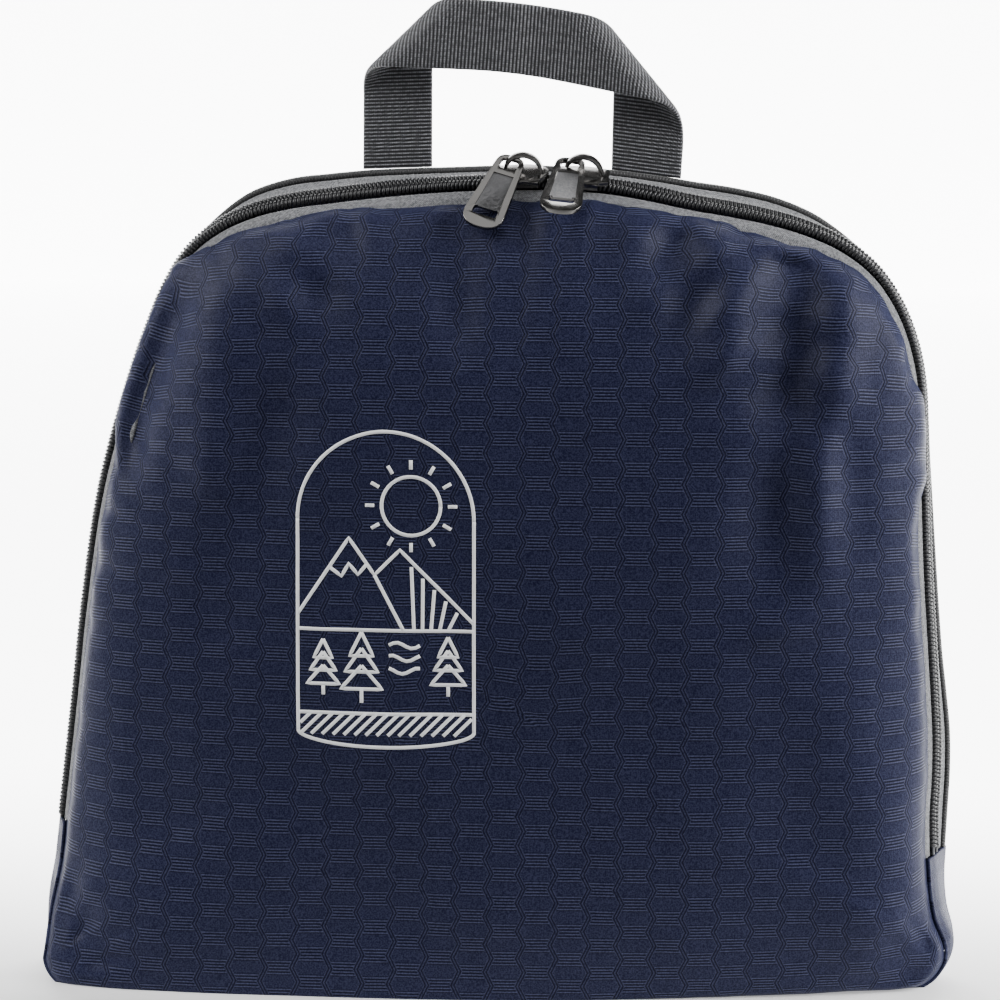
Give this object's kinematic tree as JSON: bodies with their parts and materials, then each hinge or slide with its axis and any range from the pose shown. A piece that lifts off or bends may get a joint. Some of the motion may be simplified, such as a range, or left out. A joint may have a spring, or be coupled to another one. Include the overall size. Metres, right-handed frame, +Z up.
{
  "type": "packable backpack folded into its pouch",
  "caption": "Packable backpack folded into its own zipped ripstop pouch, with a webbing haul loop and zip pulls that swing; it stands on its base.",
  "frame": {"origin": "centre of the bounding box's bottom, on the floor that the pouch stands on", "axes": "+Z up towards the haul loop, the front panel faces -Y, +X is the viewer's right"},
  "size_m": [0.2536, 0.0558, 0.2716],
  "materials": {
    "ripstop": "navy honeycomb ripstop nylon",
    "tape": "grey woven zip tape",
    "coil": "black nylon coil",
    "binding": "black ribbed edge binding",
    "webbing": "grey ribbed webbing",
    "gunmetal": "polished gunmetal plating"
  },
  "bodies": {
    "pouch": {"front_panel": "ripstop", "back_panel": "ripstop", "base_gusset": "ripstop", "stowed_bag": "ripstop", "zipper_tape_front": "tape", "zipper_tape_back": "tape", "zipper_coil_front": "coil", "zipper_coil_back": "coil", "rim_binding": "binding", "grab_handle": "webbing", "slider_left": "gunmetal", "slider_right": "gunmetal"},
    "left_pull": {"pull_left": "gunmetal"},
    "right_pull": {"pull_right": "gunmetal"}
  },
  "joints": [
    {"name": "left_pull_swing", "type": "hinge", "parent": "pouch", "child": "left_pull", "pos_m": [0.00299, -0.00256, 0.22713], "axis": [-1, 0, -0.0045], "range_deg": [0, 44]},
    {"name": "right_pull_swing", "type": "hinge", "parent": "pouch", "child": "right_pull", "pos_m": [0.0194, -0.00253, 0.22703], "axis": [-0.9981, 0, 0.0613], "range_deg": [0, 28]}
  ]
}
